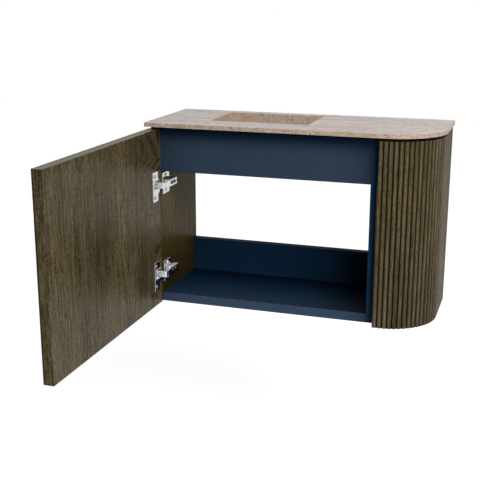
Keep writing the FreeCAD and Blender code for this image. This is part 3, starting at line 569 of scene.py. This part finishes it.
core = {"beechPale": (0.56, 0.38, 0.22), "beechDark": (0.40, 0.24, 0.12), "beechScale": (12.0, 420.0, 420.0),
        "boardPale": (0.40, 0.27, 0.155), "boardDark": (0.25, 0.155, 0.08),
        "boardScale": (520.0, 520.0, 520.0),
        "fibreStops": ((0.3, 0.0), (0.7, 1.0)), "fibreDepth": 0.0001, "roughness": 0.75}


def coreFinish(name, kind):
    finish, tree, skin = newFinish(name, Roughness=core["roughness"])
    fibre = cloud(tree, objectPlace(tree), core[kind + "Scale"], detail=5.0, rough=0.65)
    tone = mixed(tree, ramp(tree, fibre, core["fibreStops"]), core[kind + "Dark"], core[kind + "Pale"])
    dress(tree, skin, Base_Color=tone, Normal=raised(tree, fibre, core["fibreDepth"]))
    return finish


doorOak = doorOakFinish("doorOak")
sideOak = sideOakFinish("sideOak")
oakReeds = oakReedFinish("reededOak")
navyBoard = navyFinish("navyBoard", navy["upright"])
navyFloor = navyFinish("navyFloor", navy["floor"])
travertine = travertineFinish("travertine")
nickelPlate = metalFinish("nickelPlate", metal["nickel"], metal["polished"])
steelPin = metalFinish("steelPin", metal["steel"], metal["steel"])
cupScrew = metalFinish("cupScrew", metal["cupScrew"], metal["cupScrew"])
# near-black arm screws: painted shade of the dark holes at the arm's end
armScrew = metalFinish("armScrew", metal["armScrew"], metal["armScrew"])
beech = coreFinish("beech", "beech")
coreBoard = coreFinish("coreBoard", "board")
finishes = {"oak_veneer": doorOak, "navy_board": navyBoard, "travertine": travertine,
            "nickel_plate": nickelPlate, "steel_pin": steelPin, "beech": beech, "core_board": coreBoard}
for nodeObject in cadNodes.values():
    for holder in nodeObject.material_slots:
        holder.material = finishes[holder.material.name]
cadNodes["left_side_panel"].material_slots[0].material = sideOak
cadNodes["bottom_panel"].material_slots[0].material = navyFloor
for level in ("upper", "lower"):
    cadNodes[f"{level}_cup_screws"].material_slots[0].material = cupScrew
    cadNodes[f"{level}_arm_screws"].material_slots[0].material = armScrew
print("finishes set:", len(finishes))


# reeded facings: half-round reeds along a travel, drawn up the height, on a thin backing sheet

reeds = {"pitch": 0.00982, "depth": 0.0036, "backing": 0.0012, "steps": 14, "endRadius": 0.102,
         "endEase": 0.0004, "fewest": 3, "doorSeed": 11, "endSeed": 23}


def reedLift(travel, pitch):
    # height of a circular arc over its chord: root of (radius squared less the offset squared), less the drop
    radius = (pitch ** 2 / 4 + reeds["depth"] ** 2) / (2 * reeds["depth"])
    offset = (travel / pitch) % 1.0 - 0.5
    return np.sqrt(radius ** 2 - (offset * pitch) ** 2) - (radius - reeds["depth"])


def reededSheet(line, normal, length, low, high, seed):
    # each travel's reed height pushed out along the line's normal, repeated at the levels of the height
    count = max(reeds["fewest"], round(length / reeds["pitch"]))
    pitch = length / count
    travel = np.linspace(0, length, count * reeds["steps"] + 1)
    lift = reedLift(travel, pitch)
    lift[::reeds["steps"]] = 0.0
    ease = reeds["endEase"]
    levels = np.array([low, low + ease, high - ease, high])
    inset = np.array([ease, 0.0, 0.0, ease])
    out = np.maximum(lift[:, None] - inset, 0.0) + reeds["backing"]
    foot, way = line(travel), normal(travel)
    front = foot[:, None, :] + out[..., None] * way[:, None, :]
    back = np.repeat(foot[:, None, :], len(levels), axis=1)
    tall = np.broadcast_to(levels, front.shape[:2])
    grid = [np.concatenate([sheet, tall[..., None]], -1) for sheet in (front, back)]
    shades = np.random.default_rng(seed).random(count)
    ownTone = shades[np.minimum((travel / pitch).astype(int), count - 1)]
    marks = {"reedTone": np.tile(np.repeat(ownTone, len(levels)), 2),
             "reedFoot": np.tile(np.repeat(1.0 - lift / reeds["depth"], len(levels)), 2),
             "reedTop": np.tile(levels == high, 2 * len(travel))}
    return *sewnSheets(*grid), marks


def makeDoorReeds():
    # the line of the reeds' feet runs straight along Y on the board's outer face
    low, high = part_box("door_reeded_facing")
    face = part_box("door_board")[0].x
    line = lambda travel: np.stack([np.full_like(travel, face), low.y + travel], -1)
    normal = lambda travel: np.stack([-np.ones_like(travel), np.zeros_like(travel)], -1)
    points, faces, marks = reededSheet(line, normal, high.y - low.y, low.z, high.z, reeds["doorSeed"])
    return addPiece("doorReeds", points, faces, "door", oakReeds, ["door_reeded_facing"], marks)


def makeEndReeds():
    # a straight front, a quarter turn and a straight side, by travel along the line of the reeds' feet
    low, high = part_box("end_reeded_facing")
    coreLow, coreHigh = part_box("end_curved_core")
    valley = reeds["endRadius"] - reeds["depth"]
    bend = valley - reeds["backing"]
    centre = np.array([coreHigh.x - bend, coreLow.y + bend])
    straight = centre[0] - low.x
    turn = valley * math.pi / 2
    side = high.y - centre[1]

    def normal(travel):
        angle = np.clip((travel - straight) / valley, 0, math.pi / 2)
        return np.stack([np.sin(angle), -np.cos(angle)], -1)

    def line(travel):
        along = np.minimum(travel - straight, 0)
        past = np.maximum(travel - straight - turn, 0)
        return centre + bend * normal(travel) + np.stack([along, past], -1)

    points, faces, marks = reededSheet(line, normal, straight + turn + side, low.z, high.z, reeds["endSeed"])
    return addPiece("endReeds", points, faces, "carcass", oakReeds, ["end_reeded_facing"],
                    marks)


makeDoorReeds()
endReeds = makeEndReeds()
print("reeded facings made")


# black strip standing in for the shadow under the slab, painted shadow as a solid piece: a small section
# carried along the carcass just under the slab, mitred at its corners

bead = {"tall": 0.0066, "endTall": 0.0048, "proud": 0.0004, "sunk": 0.0015, "ease": 0.0006, "arcSteps": 48,
        "shade": (0.0016, 0.0016, 0.0020), "wipedLift": 1.6, "wipeScale": 300.0, "roughness": (0.5, 0.7),
        "sheen": 0.03}


def shadowStripFinish(name):
    finish, tree, skin = newFinish(name, Specular_IOR_Level=bead["sheen"])
    wipe = cloud(tree, objectPlace(tree), bead["wipeScale"])
    dress(tree, skin, Base_Color=mixed(tree, wipe, bead["shade"], lifted(bead["shade"], bead["wipedLift"])),
          Roughness=between(tree, wipe, bead["roughness"]))
    return finish


def makeShadowStrip():
    # left flank, front, the curved end's crests and its flank; each point moves out along its corner's mitre
    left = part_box("left_side_panel")[0]
    endLow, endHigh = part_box("end_reeded_facing")
    front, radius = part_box("front_apron")[0].y, reeds["endRadius"]
    turn = np.linspace(0, math.pi / 2, bead["arcSteps"])
    arc = np.stack([endHigh.x - radius + radius * np.sin(turn),
                    endLow.y + radius - radius * np.cos(turn)], -1)
    start = [(left.x, endHigh.y), (left.x, front), (endLow.x, front), (endLow.x, endLow.y)]
    line = np.concatenate([np.array(start), arc, [(endHigh.x, endHigh.y)]])
    run = np.diff(line, axis=0)
    side = np.stack([run[:, 1], -run[:, 0]], -1) / np.linalg.norm(run, axis=1, keepdims=True)
    before, after = np.concatenate([side[:1], side]), np.concatenate([side, side[-1:]])
    mitre = (before + after) / (1.0 + np.einsum("ij,ij->i", before, after))[:, None]
    # the section's six corners, from the back of its top round to the back of its foot
    out, sunk = bead["proud"], -bead["sunk"]
    reach = np.array([sunk, 0.0, out, out, 0.0, sunk])
    down = np.array([0.0, 0.0, 0.0, 1.0, 1.0, 1.0])
    eased = np.array([0.0, 0.0, 1.0, -1.0, 0.0, 0.0])
    tall = np.where(np.arange(len(line)) < len(start) - 1, bead["tall"], bead["endTall"])[:, None]
    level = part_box("stone_top")[0].z - tall * down - bead["ease"] * eased
    grid = np.concatenate([line[:, None, :] + mitre[:, None, :] * reach[:, None], level[..., None]], -1)
    number = pointNumbers(grid)
    onward = np.roll(number, -1, 1)
    sides = quads(number[:-1], number[1:], onward[1:], onward[:-1])
    caps = np.array([number[end][list(pick)] for end, pick in ((0, (0, 1, 2, 5)), (0, (2, 3, 4, 5)),
                                                               (-1, (5, 2, 1, 0)), (-1, (5, 4, 3, 2)))])
    faces = np.concatenate([sides, caps])
    return addPiece("shadowStrip", grid.reshape(-1, 3), faces, "carcass", shadowStripBlack, [])


# black strip standing in for the shadow under the slab: painted shadow as a solid piece
shadowStripBlack = shadowStripFinish("shadowStripBlack")
makeShadowStrip()
print("sealing bead made")


# stone top: one section carried round from the basin's cut-out to the slab's outline, with open pits in its
# edges

slab = {"cornerRadius": 0.105, "ease": 0.0008, "cutEase": 0.0004, "step": 0.0008,
        "edgeRows": 13, "cutRows": 9, "faceRows": 4,
        "basinLeft": 0.120, "basinFront": 0.068, "basinLength": 0.208, "basinWidth": 0.136,
        "underSawn": 0.5, "bendLimit": 0.3, "edgePits": 170, "cutPits": 70, "seed": 5,
        "pitRadius": (0.0004, 0.0013), "pitSkew": 2.5, "pitStretch": 1.5, "pitDepth": 0.9, "pitShade": 1.6,
        "pitMargin": 0.0006, "frontPits": ((-0.057, 0.0582, 0.0020), (-0.100, 0.0560, 0.0013)),
        "backPits": ((-0.054, 0.0588, 0.0019), (-0.0975, 0.0567, 0.0016), (-0.015, 0.0579, 0.0011),
                     (-0.036, 0.0540, 0.0011))}


def cornerLoop(low, high, radius, counts):
    # rectangle whose second corner is an arc: front, right, back and left runs, each by its share of length
    front, side = high[0] - low[0] - radius, high[1] - low[1] - radius
    half = radius * math.pi / 4
    share = [np.arange(count) / count for count in counts]
    ahead = share[0] * (front + half)
    aside = share[1] * (half + side) - half
    turned = np.concatenate([np.clip(ahead - front, 0, None), np.clip(aside, None, 0) + 2 * half])
    angle = turned / radius if radius else turned
    angle[len(ahead):] = np.where(aside < 0, angle[len(ahead):], math.pi / 2)
    arcX = high[0] - radius + radius * np.sin(angle)
    arcY = low[1] + radius - radius * np.cos(angle)
    arcX[:len(ahead)] -= np.clip(front - ahead, 0, None)
    arcY[len(ahead):] += np.clip(aside, 0, None)
    backX = high[0] - share[2] * (high[0] - low[0])
    leftY = high[1] - share[3] * (high[1] - low[1])
    alongX = np.concatenate([arcX, backX, np.full_like(leftY, low[0])])
    alongY = np.concatenate([arcY, np.full_like(backX, high[1]), leftY])
    return np.stack([alongX, alongY], -1)


def pitField(rng, across, height, count, placed=()):
    # deepest of many seeded and some placed pits at each point: depth x (1 - distance squared) squared within
    # reach
    small, large = slab["pitRadius"]
    margin = slab["pitMargin"]
    reach = small + (large - small) * rng.random(count) ** slab["pitSkew"]
    middleA = rng.uniform(across.min(), across.max(), count)
    middleH = rng.uniform(height.min() + margin, height.max() - margin, count)
    seeded = np.stack([middleA, middleH, reach], -1)
    middleA, middleH, reach = np.concatenate([seeded, np.array(placed).reshape(-1, 3)]).T
    apart = ((across[..., None] - middleA) / (reach * slab["pitStretch"])) ** 2
    apart = apart + ((height[..., None] - middleH) / reach) ** 2
    fall = np.clip(1.0 - apart, 0, None) ** 2
    return (fall * reach * slab["pitDepth"]).max(-1), np.minimum(1.0, slab["pitShade"] * fall.max(-1))


def pittedWall(loop, levels, rows, rng, count, inward, placed):
    # the loop at each level, pushed into the stone where a pit opens; none at the loop's corners
    onward = np.roll(loop, -1, 0) - np.roll(loop, 1, 0)
    normal = np.stack([-onward[:, 1], onward[:, 0]], -1) * inward
    normal /= np.linalg.norm(normal, axis=1, keepdims=True)
    travel = np.concatenate([[0], np.cumsum(np.linalg.norm(np.diff(loop, axis=0), axis=1))])
    height = np.linspace(*levels, rows)
    sunk, dark = pitField(rng, travel[:, None] + 0 * height, height + 0 * travel[:, None], count, placed)
    bend = np.linalg.norm(np.roll(loop, -1, 0) - 2 * loop + np.roll(loop, 1, 0), axis=1)
    keep = (bend < slab["bendLimit"] * slab["step"])[:, None] * np.ones(rows)
    keep[:, [0, -1]] = 0.0
    place = loop[:, None, :] + normal[:, None, :] * (sunk * keep)[..., None]
    return np.concatenate([place, np.broadcast_to(height, sunk.shape)[..., None]], -1), dark * keep


def makeStoneTop():
    # the section goes up the cut-out's wall, out over the upper face, down the rim and back underneath
    low, high = (np.array(corner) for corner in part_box("stone_top"))
    ease, cutEase, radius = slab["ease"], slab["cutEase"], slab["cornerRadius"]
    cutLow = low[:2] + (slab["basinLeft"], slab["basinFront"])
    cutHigh = cutLow + (slab["basinLength"], slab["basinWidth"])
    length, depth = high[:2] - low[:2]
    counts = [round(run / slab["step"]) for run in (length, depth, length, depth)]
    cutWall = cornerLoop(cutLow, cutHigh, 0.0, counts)
    cutTop = cornerLoop(cutLow - cutEase, cutHigh + cutEase, 0.0, counts)
    rimTop = cornerLoop(low[:2] + ease, high[:2] - ease, radius - ease, counts)
    rimWall = cornerLoop(low[:2], high[:2], radius, counts)
    rng = np.random.default_rng(slab["seed"])
    backStart = slab["basinLength"] + slab["basinWidth"] + cutHigh[0]
    backPits = [(backStart - x, z, reach) for x, z, reach in slab["backPits"]]
    frontPits = [(x - low[0], z, reach) for x, z, reach in slab["frontPits"]]
    cutGrid, cutDark = pittedWall(cutWall, (low[2], high[2] - cutEase), slab["cutRows"], rng, slab["cutPits"],
                                  -1.0, backPits)
    rimGrid, rimDark = pittedWall(rimWall, (high[2] - ease, low[2]), slab["edgeRows"], rng, slab["edgePits"],
                                  1.0, frontPits)
    share = np.linspace(0, 1, slab["faceRows"])[:, None]
    upper = cutTop[:, None, :] * (1 - share) + rimTop[:, None, :] * share
    under = rimWall[:, None, :] * (1 - share[1:-1]) + cutWall[:, None, :] * share[1:-1]
    levels = lambda sheet, level: np.concatenate([sheet, np.full((*sheet.shape[:2], 1), level)], -1)
    grid = np.concatenate([cutGrid, levels(upper, high[2]), rimGrid, levels(under, low[2])], 1)
    even = lambda sheet, value: np.full(sheet.shape[:2], value)
    pit = np.concatenate([cutDark, even(upper, 0.0), rimDark, even(under, 0.0)], 1)
    shares = ((cutGrid, 1.0), (upper, 0.0), (rimGrid, 1.0), (under, slab["underSawn"]))
    sawnAndShade = np.concatenate([even(sheet, value) for sheet, value in shares], 1)
    points, faces = closedRing(grid)
    return addPiece("stoneTop", points, faces, "carcass", travertine, ["stone_top"],
                    {"pit": pit, "sawnEdge": sawnAndShade})


# bowl walls: stone plates whose inner faces have the same open pits; each wall has the axis it faces along
# and which end of its box, low or high, is the inner face

bowl = {"step": 0.0011, "pits": 150, "seed": 8,
        "walls": {"front": (1, 1), "back": (1, 0), "left": (0, 1), "right": (0, 0)}}


def makeBowlWall(side, axis, inner, rng):
    # a grid over the wall's length and height; its inner face is pushed into the plate where a pit opens
    node = f"bowl_{side}_wall"
    box = np.array([tuple(corner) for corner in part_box(node)])
    run = 1 - axis
    spans = [np.linspace(box[0, way], box[1, way], round((box[1, way] - box[0, way]) / bowl["step"]) + 1)
             for way in (run, 2)]
    along, height = np.meshgrid(*spans, indexing="ij")
    sunk, dark = pitField(rng, along, height, bowl["pits"])
    still = np.ones_like(sunk)
    still[[0, -1], :] = 0.0
    still[:, [0, -1]] = 0.0
    into = -1.0 if inner else 1.0
    sheets = []
    for level, pushed in ((box[inner, axis], sunk * still * into), (box[1 - inner, axis], 0.0 * sunk)):
        sheet = np.empty((*along.shape, 3))
        sheet[..., run], sheet[..., axis], sheet[..., 2] = along, level + pushed, height
        sheets.append(sheet)
    points, faces = sewnSheets(*sheets)
    pit = np.concatenate([(dark * still).ravel(), np.zeros(dark.size)])
    # the walls take the cut-edge tone all over, partly painted shade of the basin
    return addPiece(f"bowl{side.capitalize()}Wall", points, faces, "carcass", travertine,
                    [node], {"pit": pit, "sawnEdge": np.ones_like(pit)})


makeStoneTop()
wallDraws = np.random.default_rng(bowl["seed"])
for side, (axis, inner) in bowl["walls"].items():
    makeBowlWall(side, axis, inner, wallDraws)
print("stone top and bowl walls made")


# studio: pale floor at its real depth below the hung unit, white surround, a soft key light at the front
# right and a low wide fill at the back left for the sides that the key leaves dark; a lamp is place, size and
# power

studio = {"unitTop": 0.85, "floorHalf": 6.0, "floorShade": (0.60, 0.60, 0.60, 1.0), "floorRough": 0.8,
          "floorGlow": 0.85, "white": (1.0, 1.0, 1.0, 1.0), "surround": 0.13,
          "key": ((1.790, -2.132, 1.932), (1.7, 1.7), 107.0),
          "fill": ((-1.76, 1.91, -0.43), (1.8, 0.64), 50.0), "aim": (0.05, -0.2, -0.1)}


def seenWhite(tree):
    # one where a camera, mirror or glass ray looks, nought where light is gathered
    path = addNode(tree, "LightPath")
    seen = sums(tree, "ADD", path.outputs["Is Camera Ray"], path.outputs["Is Glossy Ray"])
    return sums(tree, "MINIMUM", sums(tree, "ADD", seen, path.outputs["Is Transmission Ray"]), 1.0)


def makeFloor():
    half = studio["floorHalf"]
    level = cadBox[1].z - studio["unitTop"]
    corners = [(-half, -half, level), (half, -half, level), (half, half, level), (-half, half, level)]
    mesh = bpy.data.meshes.new("floor")
    mesh.from_pydata(corners, [], [(0, 1, 2, 3)])
    finish, tree, skin = newFinish("paleFloor", Roughness=studio["floorRough"],
                                   Base_Color=studio["floorShade"], Emission_Color=studio["white"])
    dress(tree, skin, Emission_Strength=times(tree, seenWhite(tree), studio["floorGlow"]))
    mesh.materials.append(finish)
    floor = addObject("floor", mesh)
    return floor


def makeSurround():
    world = bpy.data.worlds.new("studio")
    world.use_nodes = True
    bpy.context.scene.world = world
    tree = world.node_tree
    skin = tree.nodes["Background"]
    skin.inputs["Color"].default_value = studio["white"]
    dress(tree, skin, Strength=between(tree, seenWhite(tree), (studio["surround"], 1.0)))


def makeLamp(name, spared=()):
    # a flat lamp turned to the unit, whose light passes by the spared pieces
    place, (wide, tall), power = studio[name]
    light = bpy.data.lights.new(name, "AREA")
    light.energy = power
    light.shape = "RECTANGLE"
    light.size = wide
    light.size_y = tall
    lamp = addObject(name, light)
    away = np.array(place) - np.array(studio["aim"])
    lamp.location = place
    lamp.rotation_euler = (math.acos(away[2] / np.linalg.norm(away)), 0, math.atan2(away[0], -away[1]))
    if spared:
        group = bpy.data.collections.new(name + "Spared")
        for piece in spared:
            group.objects.link(piece)
        for entry in group.collection_objects:
            entry.light_linking.link_state = "EXCLUDE"
        lamp.light_linking.receiver_collection = group


view = {"lens": 69.758, "sensor": 36.0, "down": 15.2178, "round": 18.3901,
        "place": (0.540548, -1.968136, 0.327859)}


def makeCamera():
    lens = bpy.data.cameras.new("view")
    lens.lens = view["lens"]
    lens.sensor_width = view["sensor"]
    camera = addObject("view", lens)
    camera.location = view["place"]
    camera.rotation_euler = (math.radians(90 - view["down"]), 0, math.radians(view["round"]))
    bpy.context.scene.camera = camera


floor = makeFloor()
makeSurround()
makeLamp("key")
makeLamp("fill", (floor, endReeds))
makeCamera()
bpy.context.scene.view_settings.view_transform = "Standard"
print("studio and camera set")
